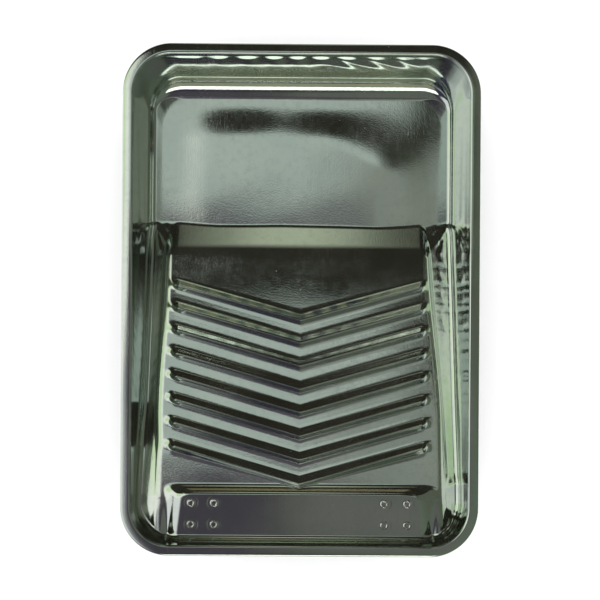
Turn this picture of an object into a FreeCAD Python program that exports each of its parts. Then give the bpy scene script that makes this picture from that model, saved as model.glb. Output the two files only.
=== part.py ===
import FreeCAD, Part
import math
import os
import Sketcher

Vector = FreeCAD.Vector
SKETCH_ORIGIN = (-1, 1)

doc = FreeCAD.newDocument("paint_roller_tray")

# ---------------------------------------------------------------- driving dimensions

# Millimetres and degrees. X runs across the tray, +Y towards the deep well and +Z up from the
# surface that the tray stands on. The origin is under the middle of the rim. The pan's sizes
# are those of the upper, wetted face of the sheet.
DIMENSIONS = [
    ("overall_width", 275.4),
    ("overall_length", 393.7),
    ("overall_height", 64.0),
    ("gauge", 0.5),
    ("bead_width", 8.4),
    ("bead_gauge", 0.6),
    ("bead_skirt", 2.4),
    ("inner_corner", 29.5),
    ("wall_draft", 3.0),
    ("cove_radius", 17.0),
    ("side_radius", 3.0),
    ("crease_y", 64.5),
    ("ramp_angle", 9.0),
    ("panel_rise", 7.9),
    ("panel_run", 22.5),
    ("panel_half_front", 110.0),
    ("panel_half_back", 113.0),
    ("panel_corner", 9.0),
    ("foot_half_front", 114.0),
    ("foot_half_back", 122.0),
    ("foot_corner", 12.0),
    ("level_y", -158.0),
    ("shelf_top", 47.5),
    ("shelf_depth", 7.5),
    ("shelf_half", 100.3),
    ("shelf_front", -145.7),
    ("shelf_corner", 9.0),
    ("shelf_taper", 40.0),
    ("rib_count", 8),
    ("rib_pitch", 18.6),
    ("rib_apex_y", -16.3),
    ("rib_half_length", 101.0),
    ("rib_width", 10.5),
    ("rib_slope", 15.4),
    ("rib_rise", 3.4),
    ("rib_crest", 1.6),
    ("fastener_x", 76.0),
    ("fastener_y", -168.2),
    ("fastener_spacing_x", 18.1),
    ("fastener_spacing_y", 16.9),
    ("fastener_hole", 4.1),
    ("rivet_shank", 4.0),
    ("rivet_bore", 2.6),
    ("rivet_roll", 1.0),
    ("rivet_head", 7.5),
    ("rivet_head_depth", 1.4),
    ("rivet_bore_floor", 1.2),
    ("leg_gauge", 1.0),
    ("leg_flange", 34.0),
    ("leg_depth", 31.5),
    ("leg_foot", 16.0),
    ("leg_bend", 1.5),
    ("leg_lip", 7.0),
    ("leg_lip_end", 8.0),
    ("rung_radius", 13.0),
    ("rung_height", 21.0),
    ("leg_rib_width", 7.0),
    ("leg_rib_rise", 1.2),
]

sheet = doc.addObject("Spreadsheet::Sheet", "dims")
for row, (alias, value) in enumerate(DIMENSIONS, start=1):
    sheet.set(f"A{row}", alias)
    sheet.set(f"B{row}", str(value))
    sheet.setAlias(f"B{row}", alias)
doc.recompute()

# Expressions that several sketches share.
BEAD_BASE = "(dims.overall_height - dims.bead_width / 2)"
OPENING_HALF_X = "(dims.overall_width / 2 - dims.bead_width)"
OPENING_HALF_Y = "(dims.overall_length / 2 - dims.bead_width)"
END_Y = "(-dims.overall_length / 2)"
RAMP_TAN = "tan(dims.ramp_angle * 1deg)"
RAMP_COS = "cos(dims.ramp_angle * 1deg)"
FLANGE_TOP = "(dims.shelf_top - dims.gauge)"
FLANGE_UNDER = "(dims.shelf_top - dims.gauge - dims.leg_gauge)"


# ---------------------------------------------------------------- sketch helpers

def value_of(expression):
    return float(sheet.evalExpression(expression))


def attached_sketch(body, name, role, lift="0", advance="0", tilt="0"):
    """A sketch on one of the body's origin planes.

    lift moves it along its normal and advance along its own Y. tilt, in degrees, turns it so
    that its -Y rises.
    """
    plane = next(item for item in body.Origin.OriginFeatures if item.Role == role)
    sketch = body.newObject("Sketcher::SketchObject", name)
    sketch.AttachmentSupport = [(plane, "")]
    sketch.MapMode = "FlatFace"
    turn = FreeCAD.Rotation(Vector(-1, 0, 0), 1)
    sketch.AttachmentOffset = FreeCAD.Placement(Vector(0, 0, 0), turn)
    sketch.setExpression("AttachmentOffset.Base.z", lift)
    sketch.setExpression("AttachmentOffset.Base.y", advance)
    sketch.setExpression("AttachmentOffset.Rotation.Angle", tilt)
    return sketch


def bind(sketch, constraint, expression):
    index = sketch.addConstraint(constraint)
    sketch.setExpression(f"Constraints[{index}]", expression)


def arc_between(start, end, radius):
    """The shorter arc from start to end, turning left for a positive radius, else right."""
    chord = end - start
    left = Vector(-chord.y, chord.x, 0).normalize()
    reach = math.sqrt(max(radius ** 2 - (chord.Length / 2) ** 2, 0.0))
    centre = (start + end) * 0.5 + left * math.copysign(reach, radius)
    first, last = (start, end) if radius > 0 else (end, start)
    begin = math.atan2(first.y - centre.y, first.x - centre.x)
    finish = math.atan2(last.y - centre.y, last.x - centre.x)
    return Part.ArcOfCircle(Part.Circle(centre, Vector(0, 0, 1), abs(radius)), begin, finish)


def outline(sketch, corners, rounds=None):
    """A closed anticlockwise outline through corners given as pairs of expressions.

    rounds maps an edge's number to the radius of the arc that replaces it. A radius with a
    leading minus sign is a hollow arc.
    """
    rounds = rounds or {}
    points = [Vector(value_of(across), value_of(up), 0) for across, up in corners]
    count = len(points)
    ends = []
    for number in range(count):
        start = points[number]
        end = points[(number + 1) % count]
        if number in rounds:
            radius = value_of(rounds[number])
            sketch.addGeometry(arc_between(start, end, radius))
            size = Sketcher.Constraint("Radius", number, abs(radius))
            bind(sketch, size, f"abs({rounds[number]})")
            ends.append((1, 2) if radius > 0 else (2, 1))
        else:
            sketch.addGeometry(Part.LineSegment(start, end))
            ends.append((1, 2))
    for number, corner in enumerate(corners):
        before = (number - 1) % count
        begin = ends[number][0]
        sketch.addConstraint(
            Sketcher.Constraint("Coincident", number, begin, before, ends[before][1]))
        for kind, expression in zip(("DistanceX", "DistanceY"), corner):
            distance = value_of(expression)
            pin = Sketcher.Constraint(kind, *SKETCH_ORIGIN, number, begin, distance)
            bind(sketch, pin, expression)


def rounded_rectangle(sketch, half_x, half_y, radius):
    """A rectangle about the sketch's origin with four equal round corners."""
    flat_x = f"({half_x} - {radius})"
    flat_y = f"({half_y} - {radius})"
    corners = [
        (f"-{flat_x}", f"-{half_y}"),
        (flat_x, f"-{half_y}"),
        (half_x, f"-{flat_y}"),
        (half_x, flat_y),
        (flat_x, half_y),
        (f"-{flat_x}", half_y),
        (f"-{half_x}", flat_y),
        (f"-{half_x}", f"-{flat_y}"),
    ]
    outline(sketch, corners, {1: radius, 3: radius, 5: radius, 7: radius})


def front_rounded(sketch, back, front, half_back, half_front, corner):
    """A four-sided plan whose two front corners are round."""
    corners = [
        (f"-{half_back}", back),
        (half_back, back),
        (half_front, f"({front} - {corner})"),
        (f"({half_front} - {corner})", front),
        (f"-({half_front} - {corner})", front),
        (f"-{half_front}", f"({front} - {corner})"),
    ]
    outline(sketch, corners, {2: corner, 4: corner})


def extrude(body, kind, name, profile, length, taper="0", symmetric=False):
    doc.recompute()
    feature = body.newObject(f"PartDesign::{kind}", name)
    feature.Profile = profile
    feature.SideType = "Symmetric" if symmetric else "One side"
    feature.setExpression("Length", length)
    feature.setExpression("TaperAngle", taper)
    return feature


# ---------------------------------------------------------------- pan

def tub_form(name, gap):
    """The drafted tub, up to the foot of the rim bead, with its round floor edges.

    gap is 0 for the sheet's upper face and the gauge for its under face.
    """
    body = doc.addObject("PartDesign::Body", f"{name}_tub")
    opening = attached_sketch(body, f"{name}_opening", "XY_Plane", lift=BEAD_BASE)
    rounded_rectangle(opening, f"({OPENING_HALF_X} + {gap})", f"({OPENING_HALF_Y} + {gap})",
                      f"(dims.inner_corner + {gap})")
    depth = f"{BEAD_BASE} - dims.gauge + {gap}"
    tub = extrude(body, "Pad", f"{name}_tub_pad", opening, depth, taper="-dims.wall_draft")
    tub.Reversed = True
    doc.recompute()
    rounded = doc.addObject("Part::Fillet", f"{name}_rounded")
    rounded.Base = body
    rounded.Edges = floor_edges(body.Shape, value_of(gap))
    return rounded


def floor_edges(shape, gap):
    """The floor's edges with their radii: the cove at the well's end, running out along the
    corners to the small radius of the sides. The shallow end stands clear of the floor."""
    cove = value_of("dims.cove_radius") + gap
    side = value_of("dims.side_radius") + gap
    cove_line = shape.BoundBox.YMax - cove
    edges = []
    for index, edge in enumerate(shape.Edges, start=1):
        box = edge.BoundBox
        if box.ZMax > shape.BoundBox.ZMin + gap + 0.1 or box.YMax < value_of("dims.level_y"):
            continue
        ends = [edge.valueAt(edge.FirstParameter), edge.valueAt(edge.LastParameter)]
        edges.append((index, *[cove if end.y > cove_line else side for end in ends]))
    return edges


def ramp_form(name, gap):
    """What stands under the sheet: gutters, raised panel, shelf and chevron ribs."""
    body = doc.addObject("PartDesign::Body", f"{name}_ramp")

    gutter_end = f"(dims.gauge - {gap} + (dims.crease_y - {END_Y}) * {RAMP_TAN})"
    below = "(-dims.side_radius)"
    gutter = attached_sketch(body, f"{name}_gutter_side", "YZ_Plane")
    outline(gutter, [
        ("dims.crease_y", f"(dims.gauge - {gap})"),
        (END_Y, gutter_end),
        (END_Y, below),
        ("dims.crease_y", below),
    ])
    extrude(body, "Pad", f"{name}_gutters", gutter, "dims.overall_width", symmetric=True)

    back = f"({END_Y} - dims.crease_y)"
    foot = attached_sketch(body, f"{name}_panel_foot", "XY_Plane", lift=f"dims.gauge - {gap}",
                           advance="dims.crease_y", tilt="dims.ramp_angle")
    front_rounded(foot, back, "0", f"(dims.foot_half_back - {gap})",
                  f"(dims.foot_half_front - {gap})", "dims.foot_corner")
    panel_lift = f"(dims.gauge + dims.panel_rise - {gap})"
    top = attached_sketch(body, f"{name}_panel_top", "XY_Plane", lift=panel_lift,
                          advance="dims.crease_y", tilt="dims.ramp_angle")
    front_rounded(top, back, f"(-dims.panel_run / {RAMP_COS})",
                  f"(dims.panel_half_back - {gap})", f"(dims.panel_half_front - {gap})",
                  "dims.panel_corner")
    doc.recompute()
    panel = body.newObject("PartDesign::AdditiveLoft", f"{name}_panel")
    panel.Profile = foot
    panel.Sections = [top]
    panel.Ruled = True

    level_z = f"({panel_lift} + (dims.crease_y - dims.level_y) * {RAMP_TAN})"
    level = attached_sketch(body, f"{name}_level_side", "YZ_Plane")
    outline(level, [
        (END_Y, level_z),
        ("dims.level_y", level_z),
        ("dims.level_y", "dims.overall_height"),
        (END_Y, "dims.overall_height"),
    ])
    extrude(body, "Pocket", f"{name}_level", level, "2 * dims.overall_width", symmetric=True)

    shelf = attached_sketch(body, f"{name}_shelf_plan", "XY_Plane",
                            lift=f"dims.shelf_top - dims.shelf_depth - {gap}")
    front_rounded(shelf, f"({END_Y} - dims.bead_width)", f"(dims.shelf_front - {gap})",
                  f"(dims.shelf_half - {gap})", f"(dims.shelf_half - {gap})",
                  "dims.shelf_corner")
    extrude(body, "Pad", f"{name}_shelf", shelf, "dims.shelf_depth", taper="-dims.shelf_taper")

    rib = attached_sketch(body, f"{name}_rib_plan", "XY_Plane", lift=panel_lift,
                          advance="dims.crease_y", tilt="dims.ramp_angle")
    chevron(rib)
    taper = "-atan((dims.rib_width - dims.rib_crest) / 2 / dims.rib_rise)"
    first_rib = extrude(body, "Pad", f"{name}_rib", rib, "dims.rib_rise", taper=taper)
    doc.recompute()
    ribs = body.newObject("PartDesign::LinearPattern", f"{name}_ribs")
    ribs.Originals = [first_rib]
    ribs.Direction = (rib, ["V_Axis"])
    ribs.Reversed = True
    ribs.Mode = "Spacing"
    ribs.setExpression("Offset", "dims.rib_pitch")
    ribs.setExpression("Occurrences", "dims.rib_count")
    body.Tip = ribs
    doc.recompute()
    return body


def chevron(sketch):
    """The foot of one rib: a V whose point is at the shallow side, with round ends."""
    half = "(dims.rib_width / 2)"
    slope_cos = "cos(dims.rib_slope * 1deg)"
    slope_sin = "sin(dims.rib_slope * 1deg)"
    apex = f"((dims.rib_apex_y - dims.crease_y) / {RAMP_COS})"
    end_x = f"(dims.rib_half_length - {half})"
    end_y = f"({apex} + {end_x} * tan(dims.rib_slope * 1deg))"
    outline(sketch, [
        ("0", f"({apex} - {half} / {slope_cos})"),
        (f"({end_x} + {half} * {slope_sin})", f"({end_y} - {half} * {slope_cos})"),
        (f"({end_x} - {half} * {slope_sin})", f"({end_y} + {half} * {slope_cos})"),
        ("0", f"({apex} + {half} / {slope_cos})"),
        (f"(-{end_x} + {half} * {slope_sin})", f"({end_y} + {half} * {slope_cos})"),
        (f"(-{end_x} - {half} * {slope_sin})", f"({end_y} - {half} * {slope_cos})"),
    ], {1: half, 4: half})


def rim_bead():
    """The sheet's edge, turned outwards into a half-round bead with a short skirt."""
    body = doc.addObject("PartDesign::Body", "rim_bead")
    outer = "(dims.bead_width / 2)"
    inner = f"({outer} - dims.bead_gauge)"
    middle = f"(-{OPENING_HALF_Y} - {outer})"
    skirt = f"({BEAD_BASE} - dims.bead_skirt)"

    spine = attached_sketch(body, "bead_spine", "XY_Plane", lift=BEAD_BASE)
    rounded_rectangle(spine, f"({OPENING_HALF_X} + {outer})", f"({OPENING_HALF_Y} + {outer})",
                      f"(dims.inner_corner + {outer})")
    section = attached_sketch(body, "bead_section", "YZ_Plane",
                              lift=f"-({OPENING_HALF_X} - dims.inner_corner)")
    outline(section, [
        (f"({middle} - {outer})", BEAD_BASE),
        (f"({middle} - {outer})", skirt),
        (f"({middle} - {inner})", skirt),
        (f"({middle} - {inner})", BEAD_BASE),
        (f"({middle} + {inner})", BEAD_BASE),
        (f"({middle} + {outer})", BEAD_BASE),
    ], {3: f"-{inner}", 5: outer})
    doc.recompute()
    pipe = body.newObject("PartDesign::AdditivePipe", "bead_pipe")
    pipe.Profile = section
    pipe.Spine = (spine, [f"Edge{number}" for number in range(1, spine.GeometryCount + 1)])
    return body


def boolean(kind, name, base, tool):
    result = doc.addObject(f"Part::{kind}", name)
    result.Base = base
    result.Tool = tool
    return result


def fastener_places():
    """Centre of each rivet as a pair of expressions, with the side and number it has there."""
    for side, sign in (("left", "-"), ("right", "")):
        number = 0
        for row in ("+", "-"):
            for column in ("-", "+"):
                number += 1
                across = f"({sign}dims.fastener_x {column} dims.fastener_spacing_x / 2)"
                along = f"(dims.fastener_y {row} dims.fastener_spacing_y / 2)"
                yield side, number, across, along


def fastener_holes(name, places):
    """Pins of the holes' size through shelf and leg flanges."""
    pins = []
    for side, number, across, along in places:
        pin = doc.addObject("Part::Cylinder", f"{name}_{side}_{number}")
        pin.setExpression("Radius", "dims.fastener_hole / 2")
        pin.setExpression("Height", "2 * dims.shelf_depth")
        pin.setExpression("Placement.Base.x", across)
        pin.setExpression("Placement.Base.y", along)
        pin.setExpression("Placement.Base.z", "dims.shelf_top - dims.shelf_depth")
        pins.append(pin)
    group = doc.addObject("Part::Compound", name)
    group.Links = pins
    return group


def make_pan():
    upper = boolean("Cut", "upper_face", tub_form("upper", "0"), ramp_form("upper", "0"))
    under = boolean("Cut", "under_face", tub_form("under", "dims.gauge"),
                    ramp_form("under", "dims.gauge"))
    pressing = boolean("Cut", "pressing", under, upper)
    blank = boolean("Fuse", "pan_blank", pressing, rim_bead())
    holes = fastener_holes("shelf_holes", list(fastener_places()))
    return boolean("Cut", "pan", blank, holes)


# ---------------------------------------------------------------- legs

def leg_section(sketch):
    """Top flange, web on the outboard side and foot, one folded strip seen along the tray."""
    web = "(dims.fastener_x + dims.leg_flange / 2)"
    thick = "dims.leg_gauge"
    bend = "(dims.leg_bend + dims.leg_gauge)"
    flange_end = "(dims.fastener_x - dims.leg_flange / 2)"
    foot_end = f"({web} - dims.leg_foot)"
    outline(sketch, [
        (foot_end, "0"),
        (f"({web} - {bend})", "0"),
        (web, bend),
        (web, f"({FLANGE_TOP} - {bend})"),
        (f"({web} - {bend})", FLANGE_TOP),
        (flange_end, FLANGE_TOP),
        (flange_end, FLANGE_UNDER),
        (f"({web} - {bend})", FLANGE_UNDER),
        (f"({web} - {thick})", f"({FLANGE_TOP} - {bend})"),
        (f"({web} - {thick})", bend),
        (f"({web} - {bend})", thick),
        (foot_end, thick),
    ], {1: bend, 3: bend, 7: "-dims.leg_bend", 9: "-dims.leg_bend"})


def make_leg(name):
    """The right leg: a folded strip with a half-round seat for a ladder's rung in its rear
    edge, a lip turned in along its front edge and a rib pressed down its web."""
    body = doc.addObject("PartDesign::Body", name)
    web = "(dims.fastener_x + dims.leg_flange / 2)"
    front = "(dims.fastener_y + dims.leg_depth / 2)"
    rear = "(dims.fastener_y - dims.leg_depth / 2)"

    strip = attached_sketch(body, f"{name}_strip_side", "XZ_Plane", lift="-dims.fastener_y")
    leg_section(strip)
    extrude(body, "Pad", f"{name}_strip", strip, "dims.leg_depth", symmetric=True)

    lip = attached_sketch(body, f"{name}_lip_plan", "XY_Plane", lift="dims.leg_lip_end")
    outline(lip, [
        (f"({web} - dims.leg_lip)", f"({front} - dims.leg_gauge)"),
        (f"({web} - dims.leg_gauge / 2)", f"({front} - dims.leg_gauge)"),
        (f"({web} - dims.leg_gauge / 2)", front),
        (f"({web} - dims.leg_lip)", front),
    ])
    extrude(body, "Pad", f"{name}_lip", lip, f"{FLANGE_UNDER} - 2 * dims.leg_lip_end")

    rib_y = f"({front} - dims.leg_rib_width)"
    rib = attached_sketch(body, f"{name}_rib_plan", "XY_Plane", lift="dims.leg_lip_end")
    half = "dims.leg_rib_width / 2"
    outline(rib, [
        (f"({web} - dims.leg_gauge / 2)", f"({rib_y} - {half})"),
        (web, f"({rib_y} - {half})"),
        (f"({web} + dims.leg_rib_rise)", f"({rib_y} - {half} + dims.leg_rib_rise)"),
        (f"({web} + dims.leg_rib_rise)", f"({rib_y} + {half} - dims.leg_rib_rise)"),
        (web, f"({rib_y} + {half})"),
        (f"({web} - dims.leg_gauge / 2)", f"({rib_y} + {half})"),
    ])
    extrude(body, "Pad", f"{name}_rib", rib, f"{FLANGE_UNDER} - 2 * dims.leg_lip_end")

    seat = attached_sketch(body, f"{name}_seat_side", "YZ_Plane", lift=web)
    doc.recompute()
    centre = Vector(value_of(rear), value_of("dims.rung_height"), 0)
    ring = sketch_circle(seat, centre, rear, "dims.rung_height", "dims.rung_radius")
    extrude(body, "Pocket", f"{name}_seat", ring, "4 * dims.leg_gauge + 2 * dims.leg_rib_rise",
            symmetric=True)
    return body


def sketch_circle(sketch, centre, across, up, radius):
    circle = Part.Circle(centre, Vector(0, 0, 1), value_of(radius))
    index = sketch.addGeometry(circle)
    for kind, expression in (("DistanceX", across), ("DistanceY", up)):
        pin = Sketcher.Constraint(kind, *SKETCH_ORIGIN, index, 3, value_of(expression))
        bind(sketch, pin, expression)
    bind(sketch, Sketcher.Constraint("Radius", index, value_of(radius)), radius)
    return sketch


def make_legs():
    strip = make_leg("leg")
    holes = fastener_holes(
        "leg_holes", [place for place in fastener_places() if place[0] == "right"])
    right = boolean("Cut", "right_leg", strip, holes)
    left = doc.addObject("Part::Mirroring", "left_leg")
    left.Source = right
    left.Normal = Vector(1, 0, 0)
    return [left, right]


# ---------------------------------------------------------------- rivets

def make_rivet(name, across, along):
    """A tubular rivet: domed head under the leg's flange, tail rolled over on the shelf."""
    body = doc.addObject("PartDesign::Body", name)
    bore = "(dims.rivet_bore / 2)"
    shank = "(dims.rivet_shank / 2)"
    rolled = f"({bore} + 2 * dims.rivet_roll)"
    head = "(dims.rivet_head / 2)"
    section = attached_sketch(body, f"{name}_section", "XZ_Plane")
    outline(section, [
        ("0", f"({FLANGE_UNDER} - dims.rivet_head_depth)"),
        (head, FLANGE_UNDER),
        (shank, FLANGE_UNDER),
        (shank, "dims.shelf_top"),
        (rolled, "dims.shelf_top"),
        (bore, "dims.shelf_top"),
        (bore, f"({FLANGE_UNDER} + dims.leg_gauge / 2)"),
        ("0", f"({FLANGE_UNDER} + dims.leg_gauge / 4)"),
    ], {0: f"({head} * {head} + dims.rivet_head_depth * dims.rivet_head_depth)"
           " / (2 * dims.rivet_head_depth)",
        4: "dims.rivet_roll"})
    doc.recompute()
    turned = body.newObject("PartDesign::Revolution", f"{name}_turned")
    turned.Profile = section
    turned.ReferenceAxis = (section, ["V_Axis"])
    turned.Angle = 360
    body.setExpression("Placement.Base.x", across)
    body.setExpression("Placement.Base.y", along)
    return body


def make_rivets():
    return [make_rivet(f"{side}_rivet_{number}", across, along)
            for side, number, across, along in fastener_places()]


# ---------------------------------------------------------------- build and write

subparts = [make_pan()] + make_legs() + make_rivets()
doc.recompute()

for item in doc.Objects:
    if "Invalid" in item.State or "Error" in item.State:
        raise RuntimeError(f"{item.Label} failed: {item.State}")
for item in subparts:
    if item.Shape.isNull() or not item.Shape.isValid() or len(item.Shape.Solids) != 1:
        raise RuntimeError(f"{item.Label} is not one valid solid")

os.makedirs("parts", exist_ok=True)
for item in subparts:
    item.Shape.exportStep(os.path.join("parts", f"{item.Label}.step"))
    box = item.Shape.BoundBox
    print(f"{item.Label}: {item.Shape.Volume:.0f} mm3, {box.XLength:.1f} x {box.YLength:.1f} x "
          f"{box.ZLength:.1f} mm, from z {box.ZMin:.2f}")
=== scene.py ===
import math

import bpy
import numpy as np
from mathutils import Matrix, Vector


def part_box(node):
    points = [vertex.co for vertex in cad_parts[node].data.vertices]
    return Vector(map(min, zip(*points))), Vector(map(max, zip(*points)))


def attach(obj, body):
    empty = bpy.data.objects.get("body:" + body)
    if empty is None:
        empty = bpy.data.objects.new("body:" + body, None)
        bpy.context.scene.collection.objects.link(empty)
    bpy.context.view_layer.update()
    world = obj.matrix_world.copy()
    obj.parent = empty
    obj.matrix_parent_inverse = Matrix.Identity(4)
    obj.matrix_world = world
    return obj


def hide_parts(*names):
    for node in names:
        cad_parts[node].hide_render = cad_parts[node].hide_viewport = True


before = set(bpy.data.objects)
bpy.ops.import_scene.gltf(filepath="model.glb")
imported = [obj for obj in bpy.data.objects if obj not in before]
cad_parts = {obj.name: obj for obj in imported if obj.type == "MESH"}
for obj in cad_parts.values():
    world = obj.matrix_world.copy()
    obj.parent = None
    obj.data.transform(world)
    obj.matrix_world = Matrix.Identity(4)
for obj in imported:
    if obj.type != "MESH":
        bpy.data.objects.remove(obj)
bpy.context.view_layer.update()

# ---------------------------------------------------------------- sizes

# The pan is worked out in millimetres, in the frame's axes, and made in metres. Heights are those
# of the sheet's upper face.
MM = 0.001
HALF_WIDTH, HALF_LENGTH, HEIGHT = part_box("pan")[1] / MM
GAUGE = 0.5

# The rim: a flattened bead, which falls outwards by the first amount at the left and the second
# at the right, then a skirt that curls under.
BEAD = 8.4
BEAD_BASE = HEIGHT - BEAD / 2
BEAD_FLATNESS = 0.38
BEAD_FALL = (0.35, 0.85)
SKIRT = 1.2
CURL = 1.2
CURL_TURN = math.pi * 0.8

# The walls, from the round at their foot to the opening inside the bead.
OPEN_X = HALF_WIDTH - BEAD
OPEN_Y = HALF_LENGTH - BEAD
CORNER = 29.5
CENTRE_X = OPEN_X - CORNER
CENTRE_Y = OPEN_Y - CORNER
WALL_LEAN = math.radians(3.0)
COVE = 17.0
SIDE_ROUND = 4.0
END_BULGE = 1.15
PUCKER_RISE = 0.32
PUCKER_LENGTH = 20.0
SIDE_WAVE_RISE = 0.07
PLEAT_RISES = (0.03, 0.042)
PINCH_RISE = 0.9

# The ramp, and the panel raised on it. The widths are at its front and at its back. The left side
# is wider in front, and its front corner rounder, than the right.
CREASE_Y = 64.5
RAMP = math.tan(math.radians(9.0))
PANEL_RISE = 7.9
PANEL_RUN = 22.5
PANEL_FRONT_Y = CREASE_Y - PANEL_RUN
PANEL_CORNERS = (9.0, 6.0)
PANEL_TOP_HALF = (105.5, 114.0)
PANEL_FOOT_HALF = (109.0, 124.0)
PANEL_LEFT_EXTRA = 6.5
PANEL_LEFT_END_Y = -110.0
EDGE_DROOP = 0.5
SHOULDER_FALL = 0.12
GUTTER_LEANS = (1.0, 1.2)
LEVEL_Y = -158.0
LEVEL_Z = GAUGE + PANEL_RISE + (CREASE_Y - LEVEL_Y) * RAMP

SHELF_TOP = 47.5
SHELF_FALL = 1 / math.tan(math.radians(40.0))
SHELF_SIDE_FALLS = (0.48, 0.38)
SHELF_HALF = 94.6
SHELF_FLARE = 0.12
SHELF_FRONT_Y = -152.0
STEP_FOOT_Y = -146.5

# The ribs point away from the well. Each is steeper behind its crest than in front, and ends in
# a steep part and then a faint tail.
RIB_COUNT = 8
RIB_PITCH = 18.6 * math.cos(math.radians(9.0))
RIB_APEX_Y = -16.3
RIB_FRONT = 5.0
RIB_BACK = 3.8
RIB_CREST_HALF = 0.25
RIB_ROUND = 0.25
RIB_RISE = 3.7
RIB_ANGLE = math.radians(15.4)
RIB_SLOPE = math.tan(RIB_ANGLE)
RIB_END_X = (97.5, 102.5)
RIB_END_SHARE = 0.78
RIB_TAIL_X = (100.5, 107.0)
RIB_TAIL_SHARE = 0.22
RIB_LEFT_EXTRA = 2.5

CROWN_RISE = 1.9
CROWN_END_Y = 166.0
CROWN_LENGTHS = (34, 66)

# Rungs pressed across the right gutter.
RUNG_RISE = 0.08
RUNG_PITCH = 7.6

DIMPLE_DEPTH = 0.16
DIMPLE_RADIUS = 4.5
DIMPLE_WIDTH = 0.8

# Folds as (start, end, width, rise), the first list on both sides of the tray.
FOLDS = [
    ((121.5, 63.0), (113.0, 47.0), 2.0, 0.9),
    ((122.0, 60.0), (118.5, 41.0), 1.7, 0.6),
    ((113.5, 62.0), (109.0, 55.0), 2.0, 0.5),
]
RIGHT_FOLDS = [
    ((109.5, -176.0), (113.5, -186.0), 1.6, 0.25),
    ((116.0, 40.0), (121.0, 30.0), 1.5, 0.35),
    ((115.0, 24.0), (120.5, 14.0), 1.6, 0.35),
    ((115.5, 6.0), (121.0, -4.0), 1.7, 0.30),
    ((116.0, -14.0), (121.5, -26.0), 1.8, 0.25),
]

SOFT_EDGE = 0.15

RIVET_NODES = [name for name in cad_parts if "rivet" in name]
RIVET_PLACES = [(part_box(name)[0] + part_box(name)[1]) / MM / 2 for name in RIVET_NODES]
RIVET_HEAD_Z = 44.6
RIVET_SEAT_Z = 46.0
RIVET_ROLL = 1.0
RIVET_BORE = 1.3
RIVET_SHANK = 2.0
RIVET_HEAD = 3.75

# The floor grid's lines keep to key places, such as the edges of the panel and of each rib.
# Between one key and the next there are this many steps. Columns run from the middle outwards
# and rows from the well's end to the shelf's.
COLUMN_STEPS = [1, 52, 32, 14, 12, 8, 8, 6, 1]
RIB_STEPS = [2, 4, 3, 4, 2]
ROW_STEPS = ([1, 12, 56, 12, 18, 10, 12] + (RIB_STEPS + [3]) * (RIB_COUNT - 1) + RIB_STEPS
             + [6, 10, 8, 26, 1])
RIB_LINES = (5.55, 4.9, 0.4, -0.4, -3.6, -4.3)
EDGE = 0.35
ROW_GAP = 0.01

ROUND_STEPS = 9
WALL_STEPS = 22
BEAD_STEPS = 28
CURL_STEPS = 8
RIVET_SIDES = 72


# ---------------------------------------------------------------- the pan's surface

def smooth_min(a, b, width):
    """The lesser of two heights, blended where they are within width of each other."""
    near = np.clip(width - np.abs(a - b), 0, None) / width
    return np.minimum(a, b) - near ** 2 * width / 4


def smooth_max(a, b, width):
    return -smooth_min(-a, -b, width)


def ease(value, low, high):
    """Rises smoothly from 0 at low to 1 at high."""
    share = np.clip((value - low) / (high - low), 0, 1)
    return share * share * (3 - 2 * share)


def panel_halves(x, y):
    """How far the raised panel's top and its foot reach from the middle, on the side x is on."""
    top = PANEL_TOP_HALF[0] + np.ptp(PANEL_TOP_HALF) * ease(-y, -PANEL_FRONT_Y, 100)
    share = np.clip((PANEL_FRONT_Y - y) / (PANEL_FRONT_Y + OPEN_Y), 0, 1)
    foot = PANEL_FOOT_HALF[0] + np.ptp(PANEL_FOOT_HALF) * share
    left = np.clip((y - PANEL_LEFT_END_Y) / (PANEL_FRONT_Y - PANEL_LEFT_END_Y), 0, 1)
    extra = np.where(x < 0, PANEL_LEFT_EXTRA * left, 0.0)
    return top + extra, foot + extra


def rib_height(x, y):
    """Height of the chevron ribs above the panel: roof-shaped, fading out at their ends."""
    ax = np.abs(x)
    height = np.zeros_like(x)
    along = ax - np.where(x < 0, RIB_LEFT_EXTRA, 0.0)
    fade = 1 - RIB_END_SHARE * ease(along, *RIB_END_X) - RIB_TAIL_SHARE * ease(along, *RIB_TAIL_X)
    for number in range(RIB_COUNT):
        apex_y = RIB_APEX_Y - number * RIB_PITCH
        across = (y - apex_y - RIB_SLOPE * ax) * math.cos(RIB_ANGLE)
        reach = np.where(across > 0, RIB_FRONT, RIB_BACK)
        rise = (reach - np.abs(across)) / (reach - RIB_CREST_HALF) * RIB_RISE
        rise = smooth_max(smooth_min(rise, RIB_RISE, RIB_ROUND), 0.0, RIB_ROUND)
        height = np.maximum(height, rise * fade)
    return height


def shelf_height(x, y):
    """Height of the shelf and of the slopes in front of it and beside it."""
    half = SHELF_HALF + SHELF_FLARE * np.clip(SHELF_FRONT_Y - y, 0, None)
    front = SHELF_TOP + (SHELF_FRONT_Y - y) * SHELF_FALL
    side = SHELF_TOP + (half - np.abs(x)) * np.where(x < 0, *SHELF_SIDE_FALLS)
    return smooth_min(smooth_min(front, side, 6.0), SHELF_TOP, 1.6)


def panel_fall(x, y, top_half, foot_half):
    """How far down the panel's slopes a place is: 0 at the top's outline, 1 at the foot's."""
    side_run = foot_half - top_half
    corner = np.where(x < 0, *PANEL_CORNERS)
    out = np.abs(x) - top_half + corner
    ahead = y - PANEL_FRONT_Y + corner
    straight = np.maximum((out - corner) / side_run, (ahead - corner) / PANEL_RUN)
    reach = np.hypot(out, ahead) + 1e-9
    foot = 1 / np.hypot(out / reach / (corner + side_run), ahead / reach / (corner + PANEL_RUN))
    radial = (reach - corner) / (foot - corner)
    return np.where((out > 0) & (ahead > 0), radial, straight)


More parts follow.
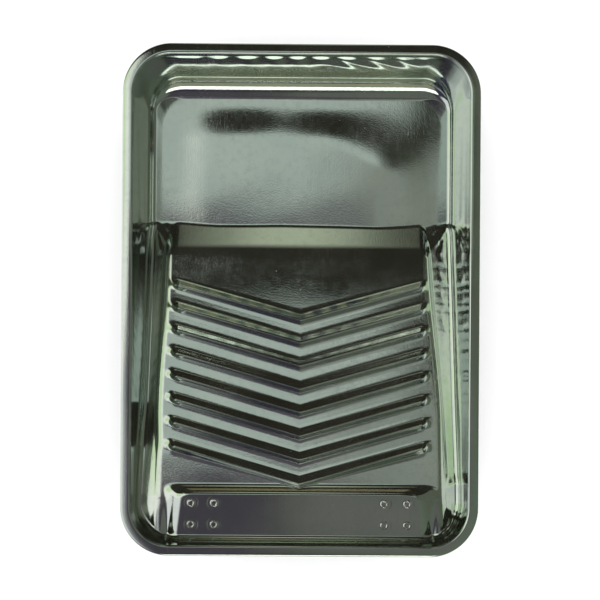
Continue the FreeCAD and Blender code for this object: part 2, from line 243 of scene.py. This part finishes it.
def well_crown(x, y):
    """The slight crown of the well's floor, which the pressing leaves uneven."""
    right = ease(x, 10, 95)
    length = CROWN_LENGTHS[0] + np.ptp(CROWN_LENGTHS) * right
    along = ease((CROWN_END_Y - y) / length, 0, 1) * (0.85 + 0.15 * ease(y, CREASE_Y - 5, 125))
    across = ease(x, -110, -66) * ease(-x, -124, -60) * (0.78 + 0.46 * right)
    return CROWN_RISE * along * across * (1 - 0.2 * np.exp(-((x + 16) / 20) ** 2))


def ridge(x, y, start, finish, width, rise):
    """A short fold in the sheet, from one point to another."""
    way = np.subtract(finish, start)
    share = ((x - start[0]) * way[0] + (y - start[1]) * way[1]) / (way @ way)
    share = np.clip(share, 0, 1)
    away = np.hypot(x - start[0] - share * way[0], y - start[1] - share * way[1])
    return rise * (0.4 + 0.6 * np.sin(np.pi * share)) * np.exp(-(away / width) ** 2)


def unevenness(x, y):
    """What pressing and riveting leave: soft waves, folds at the crease's ends, dimples, rungs."""
    wave = 0.05 * np.sin(x / 23 + y / 61 + 1.0) * np.sin(y / 19 - x / 83)
    wave += 0.03 * np.sin(x / 11 - y / 17) * np.sin(y / 13 + x / 37 + 2.0)
    ax = np.abs(x)
    folds = np.zeros_like(x)
    for start, finish, width, rise in FOLDS:
        folds += ridge(ax, y, start, finish, width, rise)
    for start, finish, width, rise in RIGHT_FOLDS:
        folds += ridge(x, y, start, finish, width, rise)
    dimples = np.zeros_like(x)
    for place in RIVET_PLACES:
        away = np.hypot(x - place[0], y - place[1])
        dimples -= DIMPLE_DEPTH * np.exp(-((away - DIMPLE_RADIUS) / DIMPLE_WIDTH) ** 2)
    rungs = np.sin(2 * np.pi * (y + 0.25 * x) / RUNG_PITCH + 1.2 * np.sin(y / 13))
    rungs *= RUNG_RISE * ease(x, 108, 113) * ease(-x, -125, -119)
    rungs *= ease(-y, -45, -28) * ease(y, -110, -60)
    return wave * ease(-ax, -118, -104) + folds + dimples + rungs


def floor_height(x, y):
    """The sheet inside the walls: well floor, front slope, panel with ribs, gutters, shelf."""
    run = CREASE_Y - y
    gutter_plane = GAUGE + run * RAMP
    top_half, foot_half = panel_halves(x, y)
    ax = np.abs(x)
    wall_foot = OPEN_X - 4
    lean = np.clip((wall_foot - ax) / (wall_foot - foot_half), 0, 1) * ease(-y, -60, -42)
    lean *= np.where(x <= 0, *GUTTER_LEANS)
    level = LEVEL_Z + 0.65 * RAMP * ease(ax, 100, 110) * np.clip(LEVEL_Y - y, 0, None)
    top = smooth_min(gutter_plane + PANEL_RISE, level, 0.5)
    shoulder = top - 0.5 - SHOULDER_FALL * np.clip(ax - top_half, 0, None)
    lean += ease(-x, 60, 80) * ease(-y, 80, 125) * np.clip(shoulder - gutter_plane - lean, 0, None)
    gutter = smooth_max(gutter_plane + lean, GAUGE + well_crown(x, y), 0.3)
    top += rib_height(x, y) - EDGE_DROOP * ease(ax, top_half - 5, top_half + 1)
    slope = gutter_plane + PANEL_RISE * (1 - panel_fall(x, y, top_half, foot_half))
    panel = smooth_min(slope, top, 2.2)
    height = smooth_max(smooth_max(panel, gutter, 1.0), shelf_height(x, y), 1.6)
    return height + unevenness(x, y)


# ---------------------------------------------------------------- the pan's mesh

def foot_inset(height, radius):
    """How far inside the rim's opening the flat of a floor at that height starts."""
    lean = (BEAD_BASE - height) * math.tan(WALL_LEAN)
    return lean + radius * math.tan((math.pi / 2 - WALL_LEAN) / 2)


def side_half(y):
    """Half width of the floor between the rounds of the side walls."""
    height = floor_height(np.full_like(y, OPEN_X - 5.0), y)
    return OPEN_X - foot_inset(height, SIDE_ROUND)


WELL_END_Y = OPEN_Y - foot_inset(GAUGE, COVE)
SHELF_END_Y = OPEN_Y - foot_inset(SHELF_TOP, SIDE_ROUND)


def column_keys(y, way):
    """Distances from the middle that the grid's columns keep to, at each y, on one side."""
    top_half, foot_half = panel_halves(way, y)
    side = side_half(y)
    keys = [np.full_like(y, place) for place in (0.0, 0.06, 60.0, 90.0, CENTRE_X)]
    foot = np.minimum(foot_half + 0.8, side - 1.5)
    return keys + [top_half - 1.5, top_half + 1.0, foot, side - EDGE, side]


def row_keys(x):
    """Lines that the grid's rows keep to, at each x, from the well's end to the shelf's."""
    ribs = []
    for number in range(RIB_COUNT):
        middle = RIB_APEX_Y - number * RIB_PITCH + RIB_SLOPE * np.minimum(np.abs(x), RIB_END_X[1])
        ribs += [middle + offset for offset in RIB_LINES]
    # Rows that would cross the shelf's step are crowded in front of it.
    crowding = ROW_GAP * np.arange(len(ribs), 0, -1).reshape(-1, *[1] * x.ndim)
    step_y = STEP_FOOT_Y + 1.5
    ribs = np.maximum(np.array(ribs), step_y + crowding)
    before = [WELL_END_Y, WELL_END_Y - EDGE, CENTRE_Y, CREASE_Y + 2.5, CREASE_Y - 2.5,
              PANEL_FRONT_Y + 2.0, PANEL_FRONT_Y - 2.0]
    after = [step_y, SHELF_FRONT_Y - 2.0, -CENTRE_Y, EDGE - SHELF_END_Y, -SHELF_END_Y]
    before, after = ([np.full_like(x, place) for place in places] for places in (before, after))
    return before + list(ribs) + after


def along_keys(keys, steps, axis):
    """Spreads the grid's lines between keys, each key an array over the whole grid."""
    result = np.empty_like(keys[0])
    lines = np.moveaxis(result, axis, 0)
    keys = [np.moveaxis(key, axis, 0) for key in keys]
    line = 0
    for start, stop, count in zip(keys[:-1], keys[1:], steps):
        for step in range(count):
            share = step / count
            lines[line] = start[line] * (1 - share) + stop[line] * share
            line += 1
    lines[line] = keys[-1][line]
    return result


def round_corners(x, y):
    """Draws the grid's square corners in to the round line where the floor meets the walls."""
    for way, end_y, height, end_round in ((1, WELL_END_Y, GAUGE, COVE),
                                          (-1, SHELF_END_Y, LEVEL_Z, SIDE_ROUND)):
        wide = (np.abs(x) - CENTRE_X) / (side_half(y) - CENTRE_X)
        deep = (way * y - CENTRE_Y) / (end_y - CENTRE_Y)
        inside = (wide > 1e-9) & (deep > 1e-9)
        wide = np.clip(wide, 0, 1)
        deep = np.clip(deep, 0, 1)
        disc_x = wide * np.sqrt(1 - deep ** 2 / 2)
        disc_y = deep * np.sqrt(1 - wide ** 2 / 2)
        turn = np.arctan2(disc_y, disc_x) / (math.pi / 2)
        side_reach = side_half(y) - CENTRE_X
        end_reach = end_y - CENTRE_Y
        even = CORNER - foot_inset(height, SIDE_ROUND + (end_round - SIDE_ROUND) * ease(turn, 0, 1))
        start = CORNER - foot_inset(height, SIDE_ROUND)
        finish = CORNER - foot_inset(height, end_round)
        reach = even + (side_reach - start) * (1 - turn) + (end_reach - finish) * turn
        x = np.where(inside, np.sign(x) * (CENTRE_X + disc_x * reach), x)
        y = np.where(inside, way * (CENTRE_Y + disc_y * reach), y)
    return x, y


def floor_grid():
    """X and Y of the floor's grid, row by row from the well's end, left to right."""
    columns = sum(COLUMN_STEPS) + 1
    rows = sum(ROW_STEPS) + 1
    halves = []
    # The columns' places depend on the rows' and the other way about, so both are settled in turns.
    for way in (-1, 1):
        x = np.zeros((rows, columns))
        y = np.zeros((rows, columns))
        for _ in range(4):
            y = along_keys(row_keys(x), ROW_STEPS, 0)
            x = along_keys(column_keys(y, way), COLUMN_STEPS, 1)
        halves.append((way * x, y))
    (left_x, left_y), (right_x, right_y) = halves
    x = np.hstack([left_x[:, :0:-1], right_x])
    y = np.hstack([left_y[:, :0:-1], right_y])
    return round_corners(x, y)


def perimeter(rows, columns):
    """Indices of the grid's edge vertices, anticlockwise from the shallow end's left corner."""
    index = np.arange(rows * columns).reshape(rows, columns)
    return np.concatenate([index[-1, :-1], index[:0:-1, -1], index[0, :0:-1], index[:-1, 0]])


def wall_lines(x, y, z):
    """The rings above the floor: round, wall, bead, skirt and curl. Each is (inset, height)."""
    ax = np.abs(x) - CENTRE_X
    ay = np.abs(y) - CENTRE_Y
    corner = (ax > 0) & (ay > 0)
    angle = np.where(corner, np.arctan2(ay, ax), np.where(ay > ax, math.pi / 2, 0.0))
    reach = np.where(corner, np.hypot(ax, ay), np.where(ay > ax, ay, ax))
    inset = CORNER - reach
    lean = (BEAD_BASE - z) * math.tan(WALL_LEAN)
    radius = (inset - lean) / math.tan((math.pi / 2 - WALL_LEAN) / 2)
    rings = []
    for turn in np.linspace(0, math.pi / 2 - WALL_LEAN, ROUND_STEPS + 1)[1:]:
        rings.append((inset - radius * math.sin(turn), z + radius * (1 - math.cos(turn))))
    wall_start = rings[-1]
    for share in np.linspace(0, 1, WALL_STEPS + 1)[1:]:
        height = wall_start[1] * (1 - share) + BEAD_BASE * share
        rings.append((wall_start[0] * (1 - share), height))
    half = BEAD / 2
    fall = BEAD_FALL[0] + np.ptp(BEAD_FALL) * ease(x, -OPEN_X, OPEN_X)
    for turn in np.linspace(0, math.pi, BEAD_STEPS + 1)[1:]:
        across = math.copysign(abs(math.cos(turn)) ** BEAD_FLATNESS, math.cos(turn))
        lift = abs(math.sin(turn)) ** BEAD_FLATNESS
        ring_z = BEAD_BASE + half * lift - fall * (1 - across) / 2 * lift
        rings.append((np.full_like(z, -half + half * across), ring_z))
    for turn in np.linspace(0, CURL_TURN, CURL_STEPS + 1):
        ring_z = np.full_like(z, BEAD_BASE - SKIRT - CURL * math.sin(turn))
        rings.append((np.full_like(z, -BEAD + CURL * (1 - math.cos(turn))), ring_z))
    outward = np.stack([np.sign(x) * np.cos(angle), np.sign(y) * np.sin(angle)])
    base = np.stack([x, y]) + outward * inset
    rings = [(ring[0] + wall_buckles(base[0], base[1], ring[1]), ring[1]) for ring in rings]
    return rings, base, outward


def wall_buckles(x, y, z):
    """How far the walls bulge inwards: puckers high on the well's end wall, pleats at the sides."""
    ax = np.abs(x)
    end = ease(y, CENTRE_Y + 5, OPEN_Y - 2) * ease(-ax, -CENTRE_X - 22, -CENTRE_X + 8)
    slant = 0.9 * (z - 56) * ease(x, 5, 30)
    pucker = np.cos(2 * np.pi * (x + slant + 2.5 * np.sin(x / 17) + 4) / PUCKER_LENGTH)
    pucker *= ease(-np.abs(x - 4), -98, -70)
    bulge = ease(z, 18, 48) * ease(-z, -60.2, -54)
    buckles = end * bulge * (END_BULGE + PUCKER_RISE * pucker)
    side = ease(ax, CENTRE_X + 5, OPEN_X - 4) * ease(-np.abs(y), -CENTRE_Y, -CENTRE_Y + 25)
    side_height = side * ease(z, 14, 26) * ease(-z, -60, -50)
    wave = np.sin(z / 2.9 + np.sin(y / 41)) * (0.7 + 0.3 * np.sin(y / 27))
    buckles += side_height * SIDE_WAVE_RISE * wave
    pleats = ease(y, -90, -60) * ease(-y, -62, -40) * np.where(x <= 0, *PLEAT_RISES)
    buckles += side_height * pleats * np.sin((y - 0.7 * z) / 1.9 + 2 * np.sin(y / 23))
    pinch = np.exp(-((y - CREASE_Y + 3) / 3.5) ** 2) * ease(-z, -46, -22)
    return buckles + side * pinch * PINCH_RISE


def pan_mesh():
    """The sheet's upper face: the floor's grid, with rings round its edge up to the curled rim."""
    x, y = floor_grid()
    rows, columns = x.shape
    z = floor_height(x, y)
    edge = perimeter(rows, columns)
    points = [np.stack([x.ravel(), y.ravel(), z.ravel()], axis=1)]
    index = np.arange(rows * columns).reshape(rows, columns)
    faces = [np.stack([index[1:, :-1], index[1:, 1:], index[:-1, 1:], index[:-1, :-1]], axis=-1)
             .reshape(-1, 4)]
    rings, base, outward = wall_lines(x.ravel()[edge], y.ravel()[edge], z.ravel()[edge])
    below = edge
    for inset, height in rings:
        place = base - outward * inset
        points.append(np.stack([place[0], place[1], height], axis=1))
        above = np.arange(len(edge)) + sum(len(block) for block in points[:-1])
        faces.append(np.stack([above, np.roll(above, -1), np.roll(below, -1), below], axis=1))
        below = above
    mesh = bpy.data.meshes.new("pan_pressing")
    mesh.from_pydata(np.concatenate(points) * MM, [], np.concatenate(faces).tolist())
    mesh.shade_smooth()
    return mesh


def make_pan():
    """The pressed pan, as thick as its sheet."""
    pan = bpy.data.objects.new("pan_pressing", pan_mesh())
    bpy.context.scene.collection.objects.link(pan)
    sheet = pan.modifiers.new("sheet", "SOLIDIFY")
    sheet.thickness = GAUGE * MM
    sheet.offset = -1
    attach(pan, "root")
    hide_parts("pan")
    return pan


# ---------------------------------------------------------------- rivets

def rivet_outline():
    """Radius and height round a rivet's section, from its head's middle to its bore's foot."""
    outline = []
    for share in np.linspace(0, 1, 9):
        lift = (RIVET_SEAT_Z - RIVET_HEAD_Z) * (1 - math.cos(share * math.pi / 2))
        outline.append((RIVET_HEAD * math.sin(share * math.pi / 2), RIVET_HEAD_Z + lift))
    outline += [(RIVET_SHANK, RIVET_SEAT_Z), (RIVET_SHANK, SHELF_TOP)]
    for turn in np.linspace(0, math.pi, 15):
        outline.append((RIVET_BORE + RIVET_ROLL * (1 + math.cos(turn)),
                        SHELF_TOP + RIVET_ROLL * math.sin(turn)))
    return outline + [(RIVET_BORE, RIVET_SEAT_Z + 0.5), (0.0, RIVET_SEAT_Z + 0.25)]


def make_rivet(number):
    """A tubular rivet with a rolled end, which the tool leaves a little uneven."""
    name = RIVET_NODES[number]
    outline = rivet_outline()
    angles = np.linspace(0, 2 * math.pi, RIVET_SIDES, endpoint=False)
    points = []
    for radius, height in outline:
        roll = ease(height, SHELF_TOP + 0.2, SHELF_TOP + RIVET_ROLL)
        sag = 0.10 * roll * (1 + np.cos(2 * angles + 1.7 * number))
        sag += 0.05 * roll * (1 + np.sin(5 * angles + 0.9 * number))
        points += list(zip(radius * np.cos(angles), radius * np.sin(angles), height - sag))
    index = np.arange(len(points)).reshape(len(outline), RIVET_SIDES)
    lower = index[1:-2]
    upper = index[2:-1]
    faces = np.stack([lower, np.roll(lower, -1, 1), np.roll(upper, -1, 1), upper], axis=-1)
    faces = faces.reshape(-1, 4).tolist()
    for ring, pole, order in ((index[1], index[0, 0], 1), (index[-2], index[-1, 0], -1)):
        for near, far in zip(ring, np.roll(ring, -1)):
            faces.append([int(pole), int(far), int(near)][::order])
    mesh = bpy.data.meshes.new(f"{name}_turned")
    mesh.from_pydata(np.array(points) * MM, [], faces)
    mesh.shade_smooth()
    rivet = bpy.data.objects.new(f"{name}_turned", mesh)
    bpy.context.scene.collection.objects.link(rivet)
    rivet.location = (RIVET_PLACES[number][0] * MM, RIVET_PLACES[number][1] * MM, 0)
    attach(rivet, "root")
    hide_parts(name)
    return rivet


# ---------------------------------------------------------------- materials

class Graph:
    """A shader tree, and short ways to add nodes to it."""

    def __init__(self, tree):
        self.tree = tree

    def add(self, kind, settings=None, **inputs):
        node = self.tree.nodes.new(kind)
        for name, value in (settings or {}).items():
            setattr(node, name, value)
        for name, value in inputs.items():
            self.feed(node.inputs[name], value)
        return node

    def feed(self, socket, value):
        if isinstance(value, bpy.types.NodeSocket):
            self.tree.links.new(value, socket)
        else:
            socket.default_value = value

    def math(self, operation, *values):
        node = self.add("ShaderNodeMath", {"operation": operation})
        for socket, value in zip(node.inputs, values):
            self.feed(socket, value)
        return node.outputs[0]

    def ramp(self, value, low, high, start=0.0, end=1.0):
        node = self.add("ShaderNodeMapRange", {"interpolation_type": "SMOOTHSTEP"})
        for name, part in (("Value", value), ("From Min", low), ("From Max", high),
                           ("To Min", start), ("To Max", end)):
            self.feed(node.inputs[name], part)
        return node.outputs[0]

    def mix(self, share, first, second):
        node = self.add("ShaderNodeMix", {"data_type": "RGBA"})
        for socket, value in ((node.inputs[0], share), (node.inputs[6], first),
                              (node.inputs[7], second)):
            self.feed(socket, value)
        return node.outputs[2]

    def noise(self, place, scale, detail):
        return self.add("ShaderNodeTexNoise", Vector=place, Scale=scale, Detail=detail).outputs[0]

    def stretched(self, place, turn, scale):
        """The place turned about Z and scaled by a different amount along each axis."""
        node = self.add("ShaderNodeMapping", Vector=place, Scale=scale)
        node.inputs["Rotation"].default_value = (0, 0, math.radians(turn))
        return node.outputs[0]

    def scratches(self, place, turn, length, spacing):
        """Fine broken lines of about that length and spacing."""
        scale = (1 / spacing, 1 / length, 1 / spacing)
        lines = self.noise(self.stretched(place, turn, scale), 1.0, 2.0)
        off = self.math("ABSOLUTE", self.math("SUBTRACT", lines, 0.53))
        broken = self.ramp(self.noise(place, 0.35 / length, 3.0), 0.50, 0.62)
        return self.math("MULTIPLY", self.ramp(off, 0.010, 0.002), broken)

    def bump(self, height, depth, normal=None):
        node = self.add("ShaderNodeBump", Height=height, Distance=depth, Strength=1.0)
        if normal is not None:
            self.feed(node.inputs["Normal"], normal)
        return node.outputs[0]


def metal(name):
    """A new metal material: itself, its graph, its shader and its object coordinates."""
    material = bpy.data.materials.new(name)
    material.use_nodes = True
    graph = Graph(material.node_tree)
    shader = material.node_tree.nodes["Principled BSDF"]
    shader.inputs["Metallic"].default_value = 1
    return material, graph, shader, graph.add("ShaderNodeTexCoord").outputs["Object"]


def make_tinplate():
    """Bright tinned sheet: faint clouds and grain, roller marks, scratches, specks, worn edges, and
    painted shade darkening its hollows.
    """
    material, graph, shader, place = metal("tinplate")
    clouds = graph.noise(place, 22.0, 5.0)
    mottle = graph.noise(place, 190.0, 4.0)
    grain = graph.noise(place, 800.0, 2.0)
    marks = graph.math("MAXIMUM", graph.scratches(place, 24.0, 0.030, 0.0011),
                       graph.scratches(place, -63.0, 0.022, 0.0013))
    rolled = graph.noise(graph.stretched(place, 0.0, (900.0, 12.0, 900.0)), 1.0, 3.0)
    spots = graph.add("ShaderNodeTexVoronoi", Vector=place, Scale=150.0)
    chosen = graph.add("ShaderNodeSeparateColor", Color=spots.outputs["Color"]).outputs[0]
    specks = graph.math("MULTIPLY", graph.ramp(spots.outputs["Distance"], 0.075, 0.03),
                        graph.ramp(chosen, 0.78, 0.82))
    pointed = graph.add("ShaderNodeNewGeometry").outputs["Pointiness"]
    worn = graph.math("MULTIPLY", graph.ramp(pointed, 0.515, 0.56), graph.ramp(mottle, 0.35, 0.6))
    # Painted shade: a mask of the hollows and creases, where the pointiness is low, broken up by the
    # clouds.
    hollow_shade = graph.math("MULTIPLY", graph.ramp(pointed, 0.485, 0.44), graph.ramp(clouds, 0.3, 0.6))

    color = graph.mix(graph.ramp(clouds, 0.3, 0.7), (0.575, 0.635, 0.590, 1),
                      (0.640, 0.690, 0.630, 1))
    color = graph.mix(graph.ramp(mottle, 0.45, 0.75, 0.0, 0.35), color, (0.52, 0.58, 0.55, 1))
    color = graph.mix(graph.math("MULTIPLY", marks, 0.25), color, (0.76, 0.77, 0.74, 1))
    # Painted shade: the colour is darkened in the hollows and creases.
    color = graph.mix(graph.math("MULTIPLY", hollow_shade, 0.55), color, (0.33, 0.34, 0.28, 1))
    color = graph.mix(graph.math("MULTIPLY", worn, 0.5), color, (0.78, 0.78, 0.74, 1))
    color = graph.mix(graph.math("MULTIPLY", specks, 0.6), color, (0.22, 0.20, 0.16, 1))
    graph.feed(shader.inputs["Base Color"], color)

    rough = graph.ramp(clouds, 0.3, 0.7, 0.055, 0.09)
    rough = graph.math("ADD", rough, graph.ramp(mottle, 0.4, 0.75, 0.0, 0.03))
    rough = graph.math("ADD", rough, graph.ramp(rolled, 0.5, 0.8, 0.0, 0.04))
    rough = graph.math("ADD", rough, graph.math("MULTIPLY", marks, 0.07))
    rough = graph.math("ADD", rough, graph.math("MULTIPLY", hollow_shade, 0.12))
    rough = graph.math("ADD", rough, graph.math("MULTIPLY", specks, 0.25))
    graph.feed(shader.inputs["Roughness"], rough)

    normal = graph.bump(mottle, 0.000004)
    normal = graph.bump(grain, 0.000018, normal)
    normal = graph.bump(rolled, 0.000006, normal)
    normal = graph.bump(graph.math("ADD", marks, specks), -0.000004, normal)
    graph.feed(shader.inputs["Normal"], normal)
    return material


def make_leg_steel():
    """Zinc-plated strip: soft spangle, duller than the pan, with scuffs and bare edges."""
    material, graph, shader, place = metal("leg_steel")
    clouds = graph.noise(place, 40.0, 5.0)
    fine = graph.noise(place, 1300.0, 3.0)
    cells = graph.add("ShaderNodeTexVoronoi", Vector=place, Scale=210.0)
    spangle = graph.add("ShaderNodeSeparateColor", Color=cells.outputs["Color"]).outputs[0]
    marks = graph.math("MAXIMUM", graph.scratches(place, 12.0, 0.018, 0.0010),
                       graph.scratches(place, 71.0, 0.014, 0.0012))
    pointed = graph.add("ShaderNodeNewGeometry").outputs["Pointiness"]
    worn = graph.math("MULTIPLY", graph.ramp(pointed, 0.51, 0.58), graph.ramp(fine, 0.3, 0.6))

    color = graph.mix(graph.ramp(spangle, 0.2, 0.8), (0.50, 0.52, 0.53, 1), (0.60, 0.61, 0.60, 1))
    color = graph.mix(graph.ramp(clouds, 0.45, 0.75, 0.0, 0.5), color, (0.44, 0.44, 0.41, 1))
    color = graph.mix(graph.math("MULTIPLY", marks, 0.6), color, (0.70, 0.70, 0.68, 1))
    color = graph.mix(graph.math("MULTIPLY", worn, 0.7), color, (0.74, 0.73, 0.70, 1))
    graph.feed(shader.inputs["Base Color"], color)

    rough = graph.ramp(spangle, 0.0, 1.0, 0.24, 0.36)
    rough = graph.math("ADD", rough, graph.ramp(clouds, 0.4, 0.7, 0.0, 0.12))
    rough = graph.math("SUBTRACT", rough, graph.math("MULTIPLY", worn, 0.10))
    graph.feed(shader.inputs["Roughness"], rough)

    normal = graph.bump(fine, 0.00002)
    normal = graph.bump(clouds, 0.0001, normal)
    graph.feed(shader.inputs["Normal"], graph.bump(marks, -0.00002, normal))
    return material


def make_rivet_steel():
    """Bright plated wire: tool marks round the roll, and painted shade inside the bore."""
    material, graph, shader, place = metal("rivet_steel")
    blotches = graph.noise(place, 420.0, 4.0)
    fine = graph.noise(place, 2400.0, 3.0)
    part = graph.add("ShaderNodeSeparateXYZ", Vector=place).outputs
    radius = graph.math("SQRT", graph.math("ADD", graph.math("POWER", part[0], 2.0),
                                           graph.math("POWER", part[1], 2.0)))
    uneven = graph.math("ADD", radius, graph.math("MULTIPLY", blotches, 0.0002))
    rings = graph.math("SINE", graph.math("MULTIPLY", uneven, 24000.0))
    # Painted shade: a mask of the bore's inside and foot, below the roll.
    bore_shade = graph.math("MULTIPLY", graph.ramp(radius, 0.0021, 0.0014),
                      graph.ramp(part[2], 0.0484, 0.0476))

    color = graph.mix(graph.ramp(blotches, 0.35, 0.65), (0.56, 0.58, 0.55, 1),
                      (0.70, 0.71, 0.67, 1))
    # Painted shade: the bore is darkened.
    color = graph.mix(graph.math("MULTIPLY", bore_shade, 0.8), color, (0.16, 0.15, 0.12, 1))
    graph.feed(shader.inputs["Base Color"], color)
    rough = graph.ramp(fine, 0.3, 0.7, 0.12, 0.26)
    rough = graph.math("ADD", rough, graph.math("MULTIPLY", bore_shade, 0.35))
    graph.feed(shader.inputs["Roughness"], rough)
    normal = graph.bump(rings, 0.000004)
    graph.feed(shader.inputs["Normal"], graph.bump(blotches, 0.00006, normal))
    return material


def finish_node(node, material):
    """Gives one of the CAD's pieces its material, and softens its edges."""
    node.data.materials.clear()
    node.data.materials.append(material)
    edges = node.modifiers.new("edges", "BEVEL")
    edges.width = SOFT_EDGE * MM
    edges.segments = 2
    edges.limit_method = "ANGLE"
    edges.angle_limit = math.radians(40)


# ---------------------------------------------------------------- stage

CAMERA_HEIGHT = 0.664
CAMERA_TURN = math.radians(0.4)
LENS = 47.05
SENSOR = 36
SHIFT = (-0.001, 0.0004)

FLOOR_REACH = 3.0
FLOOR_DROP = 0.0005
FLOOR_COLOR = (0.9, 0.9, 0.9, 1)

PLAIN_STRENGTH = 1.45

# The studio that the metal shows is a dim room with soft panels round it, each (centre, half size,
# softness of its edge, colour). They are placed by direction: straight up is (0, 0) and the horizon
# is 1 away from it. Later ones cover earlier ones.
ROOM_COLOR = (0.022, 0.0195, 0.0135)
PANELS = [
    ((-0.30, -0.55), (0.24, 0.60), 0.3, (0.050, 0.042, 0.080)),
    ((0.32, -0.55), (0.30, 0.60), 0.3, (0.14, 0.17, 0.13)),
    ((-0.10, -0.14), (0.09, 0.13), 0.2, (0.070, 0.060, 0.078)),
    ((0.09, -0.14), (0.10, 0.13), 0.3, (0.150, 0.150, 0.140)),
    ((0.0, -0.68), (0.135, 0.29), 0.10, (0.34, 0.345, 0.25)),
    ((0.0, -0.475), (0.14, 0.085), 0.15, (2.6, 2.6, 2.5)),
    ((0.0, -0.875), (0.11, 0.075), 0.20, (0.38, 0.35, 0.22)),
    ((0.0, 0.97), (0.50, 0.08), 0.3, (0.22, 0.18, 0.095)),
    ((0.0, -0.97), (0.34, 0.045), 0.2, (0.38, 0.33, 0.19)),
    ((-0.005, 0.56), (0.062, 0.09), 0.9, (0.52, 0.56, 0.43)),
    ((-0.055, 0.097), (0.125, 0.056), 0.16, (0.51, 0.57, 0.54)),
    ((0.07, 0.064), (0.06, 0.036), 0.35, (0.30, 0.32, 0.29)),
    ((0.155, 0.10), (0.025, 0.07), 0.3, (0.27, 0.29, 0.24)),
    ((-0.060, 0.016), (0.095, 0.040), 0.25, (0.100, 0.086, 0.105)),
    ((0.66, 0.10), (0.46, 0.22), 0.10, (0.12, 0.13, 0.10)),
    ((-0.60, -0.16), (0.43, 0.24), 0.15, (0.95, 0.95, 0.97)),
    ((-0.632, 0.097), (0.507, 0.170), 0.05, (1.12, 1.10, 1.06)),
    ((-0.29, 0.14), (0.11, 0.11), 0.25, (0.80, 0.98, 0.64)),
]


def make_camera():
    """Straight above the tray, at arm's length."""
    data = bpy.data.cameras.new("camera")
    data.sensor_width = SENSOR
    data.lens = LENS
    data.shift_x, data.shift_y = SHIFT
    camera = bpy.data.objects.new("camera", data)
    camera.location = (0, 0, CAMERA_HEIGHT)
    camera.rotation_euler = (0, 0, CAMERA_TURN)
    bpy.context.scene.collection.objects.link(camera)
    bpy.context.scene.camera = camera


def make_floor():
    """The plain pale floor that the tray stands on."""
    mesh = bpy.data.meshes.new("floor")
    corners = [(x * FLOOR_REACH, y * FLOOR_REACH, 0) for x, y in ((-1, -1), (1, -1), (1, 1), (-1, 1))]
    mesh.from_pydata(corners, [], [(0, 1, 2, 3)])
    floor = bpy.data.objects.new("floor", mesh)
    bpy.context.scene.collection.objects.link(floor)
    floor.location.z = -FLOOR_DROP
    material = bpy.data.materials.new("floor")
    material.use_nodes = True
    shader = material.node_tree.nodes["Principled BSDF"]
    shader.inputs["Base Color"].default_value = FLOOR_COLOR
    shader.inputs["Roughness"].default_value = 0.8
    mesh.materials.append(material)


def make_light():
    """The studio: soft panels that the metal shows, and plain white light on all else."""
    world = bpy.data.worlds.new("studio")
    bpy.context.scene.world = world
    world.use_nodes = True
    world.node_tree.nodes.clear()
    graph = Graph(world.node_tree)
    direction = graph.add("ShaderNodeTexCoord").outputs["Generated"]
    part = graph.add("ShaderNodeSeparateXYZ", Vector=direction).outputs
    above = graph.math("ADD", part[2], 1.0001)
    across = graph.math("DIVIDE", part[0], above)
    along = graph.math("DIVIDE", part[1], above)
    color = (*ROOM_COLOR, 1)
    for centre, half, softness, tint in PANELS:
        wide = graph.math("DIVIDE", graph.math("SUBTRACT", across, centre[0]), half[0])
        deep = graph.math("DIVIDE", graph.math("SUBTRACT", along, centre[1]), half[1])
        square = graph.math("ADD", graph.math("POWER", graph.math("ABSOLUTE", wide), 4),
                            graph.math("POWER", graph.math("ABSOLUTE", deep), 4))
        distance = graph.math("POWER", square, 0.25)
        share = graph.ramp(distance, 1 + softness, 1 - softness)
        color = graph.mix(share, color, (*tint, 1))
    structured = graph.add("ShaderNodeBackground", Color=color).outputs[0]
    plain = graph.add("ShaderNodeBackground", Color=(1, 1, 1, 1), Strength=PLAIN_STRENGTH).outputs[0]
    glossy = graph.add("ShaderNodeLightPath").outputs["Is Glossy Ray"]
    both = graph.add("ShaderNodeMixShader")
    for socket, value in zip(both.inputs, (glossy, plain, structured)):
        graph.feed(socket, value)
    graph.add("ShaderNodeOutputWorld", Surface=both.outputs[0])


# ---------------------------------------------------------------- the scene

bpy.context.scene.view_settings.view_transform = "Standard"
make_camera()
make_floor()
make_light()
make_pan().data.materials.append(make_tinplate())
rivet_steel = make_rivet_steel()
for rivet_number, rivet_node in enumerate(RIVET_NODES):
    make_rivet(rivet_number).data.materials.append(rivet_steel)
    finish_node(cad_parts[rivet_node], rivet_steel)
leg_steel = make_leg_steel()
for leg_node in ("left_leg", "right_leg"):
    finish_node(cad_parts[leg_node], leg_steel)
